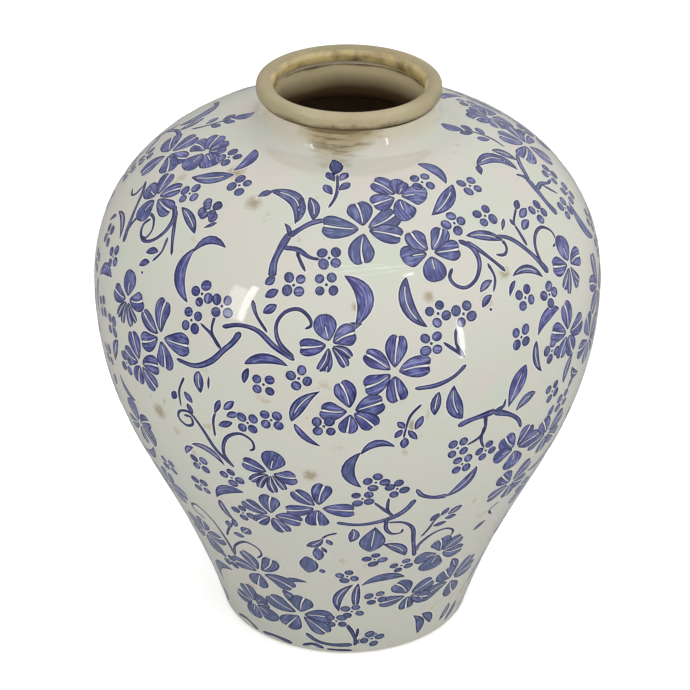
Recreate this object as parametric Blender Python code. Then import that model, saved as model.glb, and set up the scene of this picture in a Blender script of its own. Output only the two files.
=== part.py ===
"""A wide-shouldered pottery vase on a turned foot, with a short neck and a rolled lip.

The clay body is put together the way a potter puts a large jar together: a foot ring, a floor disc,
a lower and an upper thrown section that meet at the belly, a neck collar and a lip coil. Each joint
is a tongue in a groove, or a spigot on a ledge, with room for the slip that lutes it.

Frame: the origin is on the vase's axis, on the surface that it stands on, and +Z is up.
"""

import math

import bmesh
import bpy
from mathutils import Vector

MM = 0.001

# Driving dimensions, in metres.
HEIGHT = 300 * MM
BELLY_RADIUS = 129.6 * MM
BELLY_HEIGHT = 191.4 * MM
FOOT_RADIUS = 66 * MM
LIP_OUTER_RADIUS = 46.2 * MM
LIP_INNER_RADIUS = 37.2 * MM
WALL = 6.5 * MM

# Joints between the clay sections.
SLIP_GAP = 0.3 * MM
TONGUE_HEIGHT = 4 * MM
SMALL_TONGUE = 2 * MM

# Foot and floor.
FOOT_TOP = 6 * MM
FOOT_FLARE = 0.3
FOOT_INNER_RADIUS = 52 * MM
FOOT_EDGE = 0.8 * MM
FLOOR_RADIUS = 60 * MM
FLOOR_TOP = 14 * MM
FLOOR_EDGE = 1 * MM
FLOOR_FILLET = 4 * MM

# Handles of the two curves that make the outside: foot to belly, and belly to shoulder.
FOOT_HANDLE = 88 * MM
BELLY_HANDLE_DOWN = 74 * MM
BELLY_HANDLE_UP = 68 * MM
SHOULDER_HANDLE = 9 * MM

# Shoulder, neck and lip.
COLLAR_SEAT_RADIUS = 53 * MM
SPIGOT_RADIUS = 50 * MM
SHOULDER_TOP = 276.9 * MM
NECK_OUTER_RADIUS = 44 * MM
NECK_INNER_RADIUS = 38 * MM
NECK_FILLET = 7 * MM
LIP_BOTTOM = 291.5 * MM
LIP_UNDERCUT = 1.6 * MM

SEGMENTS = 60
CURVE_STEPS = 9
ARC_STEPS = 5

GLAZE = ("ivory_glaze", (0.72, 0.69, 0.60), 0.12)
LIP_STAIN = ("lip_stain", (0.36, 0.31, 0.20), 0.45)
BISQUE = ("bisque_clay", (0.55, 0.43, 0.31), 0.85)


def clear_scene():
    for obj in list(bpy.data.objects):
        bpy.data.objects.remove(obj)


def material(name, colour, roughness):
    """The Principled material of this name, made the first time it is asked for."""
    found = bpy.data.materials.get(name)
    if found:
        return found
    made = bpy.data.materials.new(name)
    made.use_nodes = True
    shader = made.node_tree.nodes["Principled BSDF"]
    shader.inputs["Base Color"].default_value = (*colour, 1)
    shader.inputs["Roughness"].default_value = roughness
    shader.inputs["Metallic"].default_value = 0
    return made


def add_object(name, bm, finish):
    mesh = bpy.data.meshes.new(name)
    bmesh.ops.recalc_face_normals(bm, faces=bm.faces)
    bm.to_mesh(mesh)
    bm.free()
    mesh.shade_smooth()
    mesh.set_sharp_from_angle(angle=math.radians(35))
    mesh.materials.append(material(*finish))
    obj = bpy.data.objects.new(name, mesh)
    bpy.context.scene.collection.objects.link(obj)


def turned_ring(name, profile, finish):
    """A closed (radius, height) outline spun once round the vase's axis."""
    bm = bmesh.new()
    verts = [bm.verts.new((radius, 0, height)) for radius, height in profile]
    edges = [bm.edges.new((a, b)) for a, b in zip(verts, verts[1:] + verts[:1])]
    bmesh.ops.spin(
        bm,
        geom=verts + edges,
        cent=(0, 0, 0),
        axis=(0, 0, 1),
        angle=math.tau,
        steps=SEGMENTS,
        use_merge=True,
    )
    add_object(name, bm, finish)


def curve(start, handle_1, handle_2, end):
    """Points along a cubic curve in the (radius, height) plane."""
    controls = (start, handle_1, handle_2, end)
    points = []
    for step in range(CURVE_STEPS + 1):
        t = step / CURVE_STEPS
        s = 1 - t
        weights = (s**3, 3 * s * s * t, 3 * s * t * t, t**3)
        points.append(Vector([sum(w * c[k] for w, c in zip(weights, controls)) for k in (0, 1)]))
    return points


def arc(centre, radius, from_deg, to_deg, steps=ARC_STEPS):
    """Points along a circle's arc in the (radius, height) plane."""
    angles = [math.radians(from_deg + (to_deg - from_deg) * k / steps) for k in range(steps + 1)]
    return [(centre[0] + radius * math.cos(a), centre[1] + radius * math.sin(a)) for a in angles]


def inner_side(outside):
    """The inside of a wall of even thickness, in the same order as its outside."""
    inside = []
    last = len(outside) - 1
    for k, point in enumerate(outside):
        along = outside[min(k + 1, last)] - outside[max(k - 1, 0)]
        inward = Vector((-along.y, along.x)).normalized()
        inside.append(point + inward * WALL)
    return inside


def tongue_span(inner_radius, outer_radius):
    """The middle third of a joint face: (inner, outer) radius of its tongue."""
    width = outer_radius - inner_radius
    return inner_radius + width / 3, outer_radius - width / 3


def foot_radius_at(height):
    return FOOT_RADIUS + FOOT_FLARE * height


def make_foot_ring():
    """Trimmed foot ring, with a low tongue on top that keys the lower section."""
    tongue_in, tongue_out = tongue_span(FLOOR_RADIUS, foot_radius_at(FOOT_TOP))
    profile = [
        (FOOT_INNER_RADIUS + FOOT_EDGE, 0),
        (FOOT_RADIUS - FOOT_EDGE, 0),
        (foot_radius_at(FOOT_EDGE), FOOT_EDGE),
        (foot_radius_at(FOOT_TOP), FOOT_TOP),
        (tongue_out, FOOT_TOP),
        (tongue_out, FOOT_TOP + SMALL_TONGUE),
        (tongue_in, FOOT_TOP + SMALL_TONGUE),
        (tongue_in, FOOT_TOP),
        (FOOT_INNER_RADIUS, FOOT_TOP),
        (FOOT_INNER_RADIUS, FOOT_EDGE),
    ]
    turned_ring("foot_ring", profile, BISQUE)


def make_floor_disc():
    """Floor of the vase. It lies on the foot ring, inside the lower section."""
    bottom = FOOT_TOP + SLIP_GAP
    thickness = FLOOR_TOP - bottom
    bm = bmesh.new()
    bmesh.ops.create_cone(
        bm,
        cap_ends=True,
        segments=SEGMENTS,
        radius1=FLOOR_RADIUS,
        radius2=FLOOR_RADIUS,
        depth=thickness,
    )
    bmesh.ops.translate(bm, verts=bm.verts, vec=(0, 0, bottom + thickness / 2))
    rims = [e for e in bm.edges if abs(e.verts[0].co.z - e.verts[1].co.z) < thickness / 2]
    bmesh.ops.bevel(bm, geom=rims, offset=FLOOR_EDGE, segments=1, affect="EDGES")
    add_object("floor_disc", bm, BISQUE)


def make_lower_section():
    """Thrown wall from the foot ring up to the belly, with a tongue along its upper edge."""
    bottom = FOOT_TOP + SLIP_GAP
    start = (foot_radius_at(bottom), bottom)
    lean = (start[0] + FOOT_FLARE * FOOT_HANDLE, start[1] + FOOT_HANDLE)
    below_belly = (BELLY_RADIUS, BELLY_HEIGHT - BELLY_HANDLE_DOWN)
    outside = curve(start, lean, below_belly, (BELLY_RADIUS, BELLY_HEIGHT))
    inside = [p for p in inner_side(outside) if p.y > FLOOR_TOP + FLOOR_FILLET]
    tongue_face = BELLY_RADIUS - WALL / 2 - SLIP_GAP / 2
    floor_seat = FLOOR_RADIUS + SLIP_GAP
    groove_in, groove_out = tongue_span(FLOOR_RADIUS, foot_radius_at(FOOT_TOP))
    groove_top = FOOT_TOP + SMALL_TONGUE + SLIP_GAP
    profile = [
        *outside,
        (tongue_face, BELLY_HEIGHT),
        (tongue_face, BELLY_HEIGHT + TONGUE_HEIGHT),
        (BELLY_RADIUS - WALL, BELLY_HEIGHT + TONGUE_HEIGHT),
        *reversed(inside),
        (floor_seat, FLOOR_TOP),
        (floor_seat, bottom),
        (groove_in - SLIP_GAP, bottom),
        (groove_in - SLIP_GAP, groove_top),
        (groove_out + SLIP_GAP, groove_top),
        (groove_out + SLIP_GAP, bottom),
    ]
    turned_ring("lower_section", profile, GLAZE)


def make_upper_section():
    """Thrown shoulder from the belly to the ledge that the neck collar stands on."""
    bottom = BELLY_HEIGHT + SLIP_GAP
    above_belly = (BELLY_RADIUS, bottom + BELLY_HANDLE_UP)
    end = (COLLAR_SEAT_RADIUS, SHOULDER_TOP)
    outside = curve(
        (BELLY_RADIUS, bottom), above_belly, (end[0] + SHOULDER_HANDLE, SHOULDER_TOP), end
    )
    rebate_top = BELLY_HEIGHT + TONGUE_HEIGHT + SLIP_GAP
    rebate_face = BELLY_RADIUS - WALL / 2 + SLIP_GAP / 2
    inside = [
        p for p in inner_side(outside) if p.y > rebate_top + SLIP_GAP and p.x > COLLAR_SEAT_RADIUS
    ]
    ledge = SHOULDER_TOP - WALL / 2
    profile = [
        *outside,
        (COLLAR_SEAT_RADIUS, ledge),
        (SPIGOT_RADIUS, ledge),
        (SPIGOT_RADIUS, SHOULDER_TOP - WALL),
        *reversed(inside),
        (BELLY_RADIUS - WALL, rebate_top),
        (rebate_face, rebate_top),
        (rebate_face, bottom),
    ]
    turned_ring("upper_section", profile, GLAZE)


def make_neck_collar():
    """Short neck whose filleted flange and spigot drop into the shoulder's seat."""
    flange = COLLAR_SEAT_RADIUS - SLIP_GAP
    flange_bottom = SHOULDER_TOP - WALL / 2 + SLIP_GAP
    spigot = SPIGOT_RADIUS - SLIP_GAP
    spigot_bottom = SHOULDER_TOP - WALL
    top = LIP_BOTTOM - SLIP_GAP
    outer_fillet = (NECK_OUTER_RADIUS + NECK_FILLET, SHOULDER_TOP + NECK_FILLET)
    inner_fillet = (NECK_INNER_RADIUS + NECK_FILLET, spigot_bottom + NECK_FILLET)
    tongue_in, tongue_out = tongue_span(NECK_INNER_RADIUS, NECK_OUTER_RADIUS)
    profile = [
        (flange, flange_bottom),
        (flange, SHOULDER_TOP),
        *arc(outer_fillet, NECK_FILLET, 270, 180),
        (NECK_OUTER_RADIUS, top),
        (tongue_out, top),
        (tongue_out, top + SMALL_TONGUE),
        (tongue_in, top + SMALL_TONGUE),
        (tongue_in, top),
        (NECK_INNER_RADIUS, top),
        *arc(inner_fillet, NECK_FILLET, 180, 270),
        (spigot, spigot_bottom),
        (spigot, flange_bottom),
    ]
    turned_ring("neck_collar", profile, GLAZE)


def make_lip_coil():
    """Rolled lip, rounded over the top, a little proud of the neck inside and out."""
    half = (LIP_OUTER_RADIUS - LIP_INNER_RADIUS) / 2
    middle = (LIP_INNER_RADIUS + half, HEIGHT - half)
    groove_in, groove_out = tongue_span(NECK_INNER_RADIUS, NECK_OUTER_RADIUS)
    groove_top = LIP_BOTTOM + SMALL_TONGUE
    profile = [
        (LIP_OUTER_RADIUS - LIP_UNDERCUT, LIP_BOTTOM),
        (LIP_OUTER_RADIUS - LIP_UNDERCUT / 4, LIP_BOTTOM + LIP_UNDERCUT),
        *arc(middle, half, 0, 180, 2 * ARC_STEPS),
        (LIP_INNER_RADIUS, LIP_BOTTOM),
        (groove_in - SLIP_GAP, LIP_BOTTOM),
        (groove_in - SLIP_GAP, groove_top),
        (groove_out + SLIP_GAP, groove_top),
        (groove_out + SLIP_GAP, LIP_BOTTOM),
    ]
    turned_ring("lip_coil", profile, LIP_STAIN)


def main():
    clear_scene()
    make_foot_ring()
    make_floor_disc()
    make_lower_section()
    make_upper_section()
    make_neck_collar()
    make_lip_coil()


main()
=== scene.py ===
"""Looks for the pottery vase: one turned, glazed wall, a stained lip, a bare clay foot, and brushed
cobalt flowers that lie on the glaze all the way round.

Places on the outside are given as (azimuth in degrees, up in millimetres). Azimuth 0 faces -Y and
grows towards +X. Up is the distance along the wall from the edge of the foot.
"""

import math
import random

import bpy
import numpy as np
from mathutils import Matrix, Quaternion, Vector


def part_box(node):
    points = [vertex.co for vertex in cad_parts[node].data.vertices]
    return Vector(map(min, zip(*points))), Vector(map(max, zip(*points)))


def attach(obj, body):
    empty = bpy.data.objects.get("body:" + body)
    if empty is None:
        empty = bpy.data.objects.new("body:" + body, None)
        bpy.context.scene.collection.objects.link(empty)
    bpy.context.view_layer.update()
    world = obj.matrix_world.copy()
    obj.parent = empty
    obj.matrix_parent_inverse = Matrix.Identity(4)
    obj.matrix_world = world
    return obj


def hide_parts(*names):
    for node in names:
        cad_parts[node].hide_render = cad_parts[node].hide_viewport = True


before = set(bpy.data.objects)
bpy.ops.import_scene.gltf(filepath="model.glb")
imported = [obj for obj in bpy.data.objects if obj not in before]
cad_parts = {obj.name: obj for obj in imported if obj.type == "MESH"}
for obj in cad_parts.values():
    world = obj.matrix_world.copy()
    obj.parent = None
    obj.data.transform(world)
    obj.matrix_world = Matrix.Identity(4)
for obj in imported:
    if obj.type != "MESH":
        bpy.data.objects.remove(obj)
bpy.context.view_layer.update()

MM = 0.001
SEED = 7

# The clay sections' boxes in the frame.
FOOT_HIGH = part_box("foot_ring")[1]
FLOOR_LOW, FLOOR_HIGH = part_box("floor_disc")
LOWER_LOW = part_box("lower_section")[0]
UPPER_LOW, UPPER_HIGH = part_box("upper_section")
NECK_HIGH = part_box("neck_collar")[1]
LIP_LOW, LIP_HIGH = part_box("lip_coil")

# The outside. Its belly and foot stay a SKIN inside the boxes, which leaves room for the brushwork.
SKIN = 0.12 * MM
BELLY_RADIUS = UPPER_HIGH.x - SKIN
BELLY_HEIGHT = UPPER_LOW.z
SHOULDER_TOP = UPPER_HIGH.z
COLLAR_RADIUS = NECK_HIGH.x
LIP_BOTTOM = LIP_LOW.z
FOOT_FLARE = 0.3
FOOT_RADIUS = 66 * MM
FOOT_HANDLE = 88 * MM
BELLY_HANDLE_DOWN = 74 * MM
BELLY_HANDLE_UP = 68 * MM
SHOULDER_HANDLE = 9 * MM
NECK_RADIUS = 44 * MM
NECK_FILLET = 7 * MM
# How the bend from shoulder to neck is softened: sampling step, spread, and where along the wall.
NECK_STEP = 0.5 * MM
NECK_SOFTNESS = 3.4 * MM
NECK_SOFT_FROM = 295 * MM
NECK_SOFT_RAMP = 30 * MM
# The inside and the underside: the wall's thickness, the gaps between skins that meet, the bare
# foot's section, and the rim in which the glazed skin ends round the foot.
WALL = 6.5 * MM
INNER_NECK_RADIUS = 38 * MM
INSIDE_TOP = 322 * MM
GAP = 0.3 * MM
FOOT_TOP_GAP = 0.2 * MM
FOOT_INSET = 0.8 * MM
FOOT_EDGE = 0.6 * MM
FOOT_WIDTH = 15.8 * MM
RIM_INSET = 0.7 * MM
RIM_RISE = 1.0 * MM
# The lip: how square its section is, how uneven, and how far its top drops towards the mouth.
LIP_INNER_RADIUS = 37.3 * MM
LIP_SQUARENESS = 2.7
LIP_UNEVEN = 0.22 * MM
LIP_TILT = 1.7 * MM

# Columns round a turned shape. Rows up the wall (from, to and step in millimetres), then up the neck.
TURNS = 256
WALL_ROWS = (1.2, 318, 2.2)
NECK_ROWS_FROM = 318.2 * MM
NECK_ROWS = 22


# ---------------- turned shapes


def cubic(start, handle_1, handle_2, end, steps):
    """Points along a cubic curve, without its last point."""
    t = np.linspace(0, 1, steps, endpoint=False)[:, None]
    s = 1 - t
    a, b, c, d = (np.array(p, float) for p in (start, handle_1, handle_2, end))
    return s**3 * a + 3 * s * s * t * b + 3 * s * t * t * c + t**3 * d


def arc(centre, radius, from_deg, to_deg, steps):
    """Points along an arc, with both its ends."""
    angles = np.radians(np.linspace(from_deg, to_deg, steps + 1))
    return np.array(centre) + radius * np.stack([np.cos(angles), np.sin(angles)], axis=1)


def outer_meridian():
    """The outside, from the foot's edge to the top of the neck, as dense (radius, height) points."""
    start_height = LOWER_LOW.z
    foot = (FOOT_RADIUS - SKIN, 0)
    start = (foot[0] + FOOT_FLARE * start_height, start_height)
    lean = (start[0] + FOOT_FLARE * FOOT_HANDLE, start[1] + FOOT_HANDLE)
    belly = (BELLY_RADIUS, BELLY_HEIGHT)
    below = (BELLY_RADIUS, BELLY_HEIGHT - BELLY_HANDLE_DOWN)
    above = (BELLY_RADIUS, BELLY_HEIGHT + BELLY_HANDLE_UP)
    root = (COLLAR_RADIUS, SHOULDER_TOP)
    level = (COLLAR_RADIUS + SHOULDER_HANDLE, SHOULDER_TOP)
    rising = cubic(start, lean, below, belly, 300)
    shoulder = cubic(belly, above, level, root, 300)
    fillet_centre = (NECK_RADIUS + NECK_FILLET, SHOULDER_TOP + NECK_FILLET)
    fillet = arc(fillet_centre, NECK_FILLET, 270, 180, 40)
    return np.vstack([[foot], rising, shoulder, [root], fillet, [(NECK_RADIUS, LIP_BOTTOM)]])


def run_length(line):
    """How far along a line each of its points is."""
    return np.concatenate([[0], np.cumsum(np.linalg.norm(np.diff(line, axis=0), axis=1))])


def resampled(line, run, even):
    """The points at the distances `even` along a line whose own points lie at `run`."""
    return np.stack([np.interp(even, run, line[:, k]) for k in (0, 1)], axis=1)


def eased_neck(line):
    """The outside with the bend from shoulder to neck softened, as the glaze pools in it."""
    run = run_length(line)
    even = np.arange(0, run[-1] + NECK_STEP, NECK_STEP)
    even[-1] = run[-1]
    points = resampled(line, run, even)
    pad = int(3 * NECK_SOFTNESS / NECK_STEP)
    weights = np.exp(-0.5 * (np.arange(-pad, pad + 1) * NECK_STEP / NECK_SOFTNESS) ** 2)
    weights /= weights.sum()
    last = points[-1] + (points[-1] - points[-2]) * np.arange(1, pad + 1)[:, None]
    padded = np.vstack([points[[0] * pad], points, last])
    soft = np.stack([np.convolve(padded[:, k], weights, "valid") for k in (0, 1)], axis=1)
    share = np.clip((even - NECK_SOFT_FROM) / NECK_SOFT_RAMP, 0, 1)[:, None]
    return points + (soft - points) * share


class Wall:
    """The outside of the vase, addressed by azimuth and by distance up the wall."""

    def __init__(self):
        line = eased_neck(outer_meridian())
        self.up = run_length(line)
        self.line = line
        self.length = self.up[-1]

    def radius(self, up):
        return np.interp(up, self.up, self.line[:, 0])

    def height(self, up):
        return np.interp(up, self.up, self.line[:, 1])

    def outline(self, up):
        return np.stack([self.radius(up), self.height(up)], axis=-1)

    def normal(self, up):
        """The outward normal's (radial, vertical) parts."""
        reach = 1.5 * MM
        along = self.outline(up + reach) - self.outline(up - reach)
        out = np.stack([along[..., 1], -along[..., 0]], axis=-1)
        return out / np.linalg.norm(out, axis=-1, keepdims=True)

    def place(self, azimuth, up, lift):
        """World points and normals for arrays of azimuth (radians), up and lift (metres)."""
        flat = self.outline(up)
        slope = self.normal(up)
        flat = flat + slope * lift[..., None]
        sin, cos = np.sin(azimuth), np.cos(azimuth)
        points = np.stack([flat[..., 0] * sin, -flat[..., 0] * cos, flat[..., 1]], axis=-1)
        normals = np.stack([slope[..., 0] * sin, -slope[..., 0] * cos, slope[..., 1]], axis=-1)
        return points, normals


WALL_LINE = Wall()


def turned(name, outline, wobble=None, capped=False):
    """A skin spun round the axis from an outline of (radius, height) points.

    The outline closes on itself, or runs from the axis to the axis when capped. wobble(azimuth,
    points) moves the points of each turn.
    """
    line = np.array(outline[1:-1] if capped else outline, float)
    rows = len(line)
    points = []
    for angle in np.linspace(0, math.tau, TURNS, endpoint=False):
        moved = line if wobble is None else wobble(angle, line)
        points += [(r * math.sin(angle), -r * math.cos(angle), z) for r, z in moved]
    low, high = len(points), len(points) + 1
    if capped:
        points += [(0, 0, outline[0][1]), (0, 0, outline[-1][1])]
    faces = []
    for k in range(TURNS):
        a, b = k * rows, ((k + 1) % TURNS) * rows
        for j in range(rows - 1 if capped else rows):
            i = (j + 1) % rows
            faces.append((a + j, b + j, b + i, a + i))
        if capped:
            faces += [(low, b, a), (high, a + rows - 1, b + rows - 1)]
    return mesh_object(name, points, faces)


def add_object(name, data):
    obj = bpy.data.objects.new(name, data)
    bpy.context.scene.collection.objects.link(obj)
    return obj


def mesh_object(name, points, faces, normals=None):
    mesh = bpy.data.meshes.new(name)
    mesh.from_pydata([tuple(p) for p in points], [], faces)
    mesh.shade_smooth()
    if normals is not None:
        mesh.normals_split_custom_set_from_vertices([tuple(n) for n in normals])
    return add_object(name, mesh)


# ---------------- materials


class Shader:
    """A small helper that adds nodes to one Principled material."""

    def __init__(self, name):
        self.material = bpy.data.materials.new(name)
        self.material.use_nodes = True
        self.nodes = self.material.node_tree.nodes
        self.links = self.material.node_tree.links
        self.principled = self.nodes["Principled BSDF"]

    def node(self, kind, inputs=None, **settings):
        made = self.nodes.new(kind)
        for key, value in settings.items():
            setattr(made, key, value)
        for key, value in (inputs or {}).items():
            self.feed(made.inputs[key], value)
        return made

    def feed(self, socket, value):
        if isinstance(value, bpy.types.NodeSocket):
            self.links.new(value, socket)
        elif isinstance(value, tuple) and socket.type == "RGBA" and len(value) == 3:
            socket.default_value = (*value, 1)
        else:
            socket.default_value = value

    def set(self, **inputs):
        for key, value in inputs.items():
            self.feed(self.principled.inputs[key.replace("_", " ")], value)

    def place(self):
        return self.node("ShaderNodeTexCoord").outputs["Object"]

    def attribute(self, name, output="Fac"):
        return self.node("ShaderNodeAttribute", attribute_name=name).outputs[output]

    def noise(self, vector, scale, detail=3, roughness=0.5):
        inputs = {"Vector": vector, "Scale": scale, "Detail": detail, "Roughness": roughness}
        return self.node("ShaderNodeTexNoise", inputs).outputs["Fac"]

    def ramp(self, value, *stops):
        made = self.node("ShaderNodeValToRGB", {"Fac": value})
        elements = made.color_ramp.elements
        while len(elements) < len(stops):
            elements.new(0.5)
        for element, (position, colour) in zip(elements, stops):
            element.position = position
            shade = colour if isinstance(colour, tuple) else (colour,) * 3
            element.color = (*shade, 1)
        return made.outputs["Color"]

    def mix(self, factor, a, b, blend="MIX"):
        # Inputs 6 and 7 and output 2 are the node's colour sockets.
        inputs = {0: factor, 6: a, 7: b}
        made = self.node("ShaderNodeMix", inputs, data_type="RGBA", blend_type=blend)
        return made.outputs[2]

    def math(self, operation, a, b, clamp):
        inputs = {0: a, 1: b}
        made = self.node("ShaderNodeMath", inputs, operation=operation, use_clamp=clamp)
        return made.outputs[0]

    def plus(self, a, b):
        return self.math("ADD", a, b, False)

    def minus(self, a, b, clamp=False):
        return self.math("SUBTRACT", a, b, clamp)

    def times(self, a, b, clamp=False):
        return self.math("MULTIPLY", a, b, clamp)

    def over(self, a, b):
        return self.math("DIVIDE", a, b, False)

    def height(self):
        split = self.node("ShaderNodeSeparateXYZ", {"Vector": self.place()})
        return split.outputs["Z"]

    def spot(self, vector, centre, radius):
        """1 at the centre, falling to 0 at the radius."""
        made = self.node("ShaderNodeVectorMath", {0: vector, 1: centre}, operation="DISTANCE")
        near = self.over(made.outputs["Value"], radius)
        return self.minus(1.0, near, clamp=True)

    def stretched(self, vector, scale):
        return self.node("ShaderNodeMapping", {"Vector": vector, "Scale": scale}).outputs[0]

    def bump(self, height, strength, distance):
        inputs = {"Height": height, "Strength": strength, "Distance": distance}
        self.set(Normal=self.node("ShaderNodeBump", inputs).outputs["Normal"])


IVORY = (0.545, 0.545, 0.480)
IVORY_ROSE = (0.57, 0.535, 0.475)
IVORY_GREEN = (0.525, 0.555, 0.465)
# Painted shade: the ivory is mixed darker from 240 mm down to the foot, where less light falls.
IVORY_PAINTED_SHADE = (0.52, 0.52, 0.455)
PAINTED_SHADE_TOP = 240 * MM
WAX = (0.66, 0.655, 0.66)
COBALT_DEEP = (0.020, 0.022, 0.105)
COBALT = (0.070, 0.076, 0.245)
COBALT_PALE = (0.22, 0.235, 0.44)
COBALT_LINE = (0.008, 0.008, 0.05)
SLATE = (0.085, 0.12, 0.185)
BEIGE = (0.59, 0.515, 0.36)
SMOKE = (0.34, 0.26, 0.115)
OLIVE_BROWN = (0.115, 0.078, 0.03)
TAUPE = (0.265, 0.235, 0.115)
LIP_PALE = (0.41, 0.355, 0.21)
LIP_BLUSH = (0.37, 0.275, 0.165)
KHAKI = (0.62, 0.48, 0.22)
# Painted shadow colour for the line under the lip's inner edge.
PAINTED_GAP_SHADOW = (0.085, 0.06, 0.025)
# The inner wall: grey-beige under the lip, a painted shade of dark brown lower down, and lighter brown
# deep inside.
CLAY_GREY = (0.61, 0.52, 0.315)
CLAY_SHADE = (0.085, 0.05, 0.024)
CLAY_DEEP = (0.50, 0.40, 0.29)
# Painted highlight colour for the pale line along the lip's inner lower edge.
PAINTED_EDGE_HIGHLIGHT = (0.70, 0.62, 0.46)
BISQUE_DARK = (0.50, 0.38, 0.26)
BISQUE_LIGHT = (0.62, 0.50, 0.37)
FLECK = (0.40, 0.31, 0.17)
STAIN = (0.27, 0.21, 0.11)
# Stains on the glaze: azimuth, up and radius (mm), first those at the front, then those behind.
STAINS = (
    (-48, 308, 9), (-32, 295, 8), (-8, 157, 7), (2, 249, 4), (-46, 172, 8),
    (40, 253, 6), (19, 251, 5), (33, 243, 6), (14, 187, 6),
    (118, 120, 7), (171, 210, 6), (-150, 95, 8), (-101, 226, 6),
)
GLAZE = {"Roughness": 0.055, "IOR": 1.46}
# The share of the painted shade, a darker ivory, at the foot, and how far down the beige under the lip
# reaches.
PAINTED_SHADE_SHARE = 0.8
BEIGE_DEPTH = 14 * MM
# The lip: its throat is inside THROAT_EDGE, its front is paler within FRONT_RADIUS, and the painted
# highlight along the throat's lower edge shows round HIGHLIGHT_SIDE.
THROAT_EDGE = LIP_INNER_RADIUS + 2.6 * MM
FRONT_RADIUS = 62 * MM
HIGHLIGHT_SIDE = (-28 * MM, 24 * MM, LIP_BOTTOM)
HIGHLIGHT_RADIUS = 60 * MM
# The smudge under the lip, which the squash makes wider than it is high.
SMUDGE_SQUASH = 1.35
SMUDGE_PLACE = (-4.5 * MM, -45 * MM, (LIP_BOTTOM - 1.5 * MM) * SMUDGE_SQUASH)
SMUDGE_RADIUS = 26 * MM


def ivory_glaze():
    s = Shader("ivory_glaze")
    place = s.place()
    rosy = s.ramp(s.noise(place, 26, 2), (0.42, 0.0), (0.62, 1.0))
    green = s.ramp(s.noise(s.stretched(place, (1, 1, 1.6)), 34, 3), (0.48, 0.0), (0.68, 1.0))
    colour = s.mix(rosy, IVORY, IVORY_ROSE)
    colour = s.mix(green, colour, IVORY_GREEN)
    # Painted shade: the ivory grows darker from below the shoulder down to the foot, where less light
    # falls.
    low = s.minus(1.0, s.over(s.height(), PAINTED_SHADE_TOP), clamp=True)
    colour = s.mix(s.times(low, PAINTED_SHADE_SHARE, clamp=True), colour, IVORY_PAINTED_SHADE)
    # Beige under the lip all the way round, and a brushed olive smudge at the front.
    below = s.over(s.minus(LIP_BOTTOM, s.height()), BEIGE_DEPTH)
    ragged = s.noise(s.stretched(place, (45, 45, 150)), 1, 4, 0.6)
    beige = s.ramp(s.minus(s.plus(ragged, 0.5), below), (0.1, 0.0), (0.9, 0.62))
    colour = s.mix(beige, colour, BEIGE)
    near = s.spot(s.stretched(place, (1, 1, SMUDGE_SQUASH)), SMUDGE_PLACE, SMUDGE_RADIUS)
    near = s.times(near, 1.5)
    near = s.plus(near, s.times(s.minus(ragged, 0.5), 1.6))
    smudge = s.ramp(near, (0.3, 0.0), (0.95, 0.75))
    colour = s.mix(smudge, colour, SMOKE)
    lines = s.noise(s.stretched(place, (62, 62, 520)), 1, 4, 0.6)
    lines = s.times(s.ramp(lines, (0.44, 0.0), (0.57, 1.0)), smudge)
    colour = s.mix(lines, colour, OLIVE_BROWN)
    # Brown stains at a few places, and tan flecks here and there.
    speck = s.noise(place, 420, 4, 0.7)
    for azimuth, up, size in STAINS:
        centre = WALL_LINE.place(np.radians([azimuth]), np.array([up * MM]), np.zeros(1))[0][0]
        stain = s.times(s.spot(place, tuple(centre), size * MM), speck)
        colour = s.mix(s.ramp(stain, (0.16, 0.0), (0.42, 0.75)), colour, STAIN)
    fleck = s.times(s.noise(place, 150, 3), s.noise(place, 22, 1))
    colour = s.mix(s.ramp(fleck, (0.395, 0.0), (0.46, 0.5)), colour, FLECK)
    s.set(Base_Color=colour, **GLAZE)
    return s.material


def cobalt_paint():
    s = Shader("cobalt_paint")
    brush = s.attribute("brush", "Vector")
    edge = s.attribute("edge")
    streak = s.noise(s.stretched(brush, (0.1, 1.1, 1)), 1, 3, 0.6)
    pool = s.noise(s.stretched(brush, (0.16, 0.16, 1)), 1, 2)
    load = s.plus(s.times(streak, 0.65), s.times(pool, 0.35))
    colour = s.ramp(load, (0.40, COBALT_DEEP), (0.5, COBALT), (0.61, COBALT_PALE))
    colour = s.mix(s.attribute("tone"), colour, SLATE)
    line = s.plus(edge, s.times(s.minus(streak, 0.5), 0.3))
    colour = s.mix(s.ramp(line, (0.3, 1.0), (0.48, 0.75), (0.7, 0.0)), colour, COBALT_LINE)
    colour = s.mix(s.ramp(edge, (0.17, 1.0), (0.24, 0.0)), colour, WAX)
    s.set(Base_Color=colour, **GLAZE)
    return s.material


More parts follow.
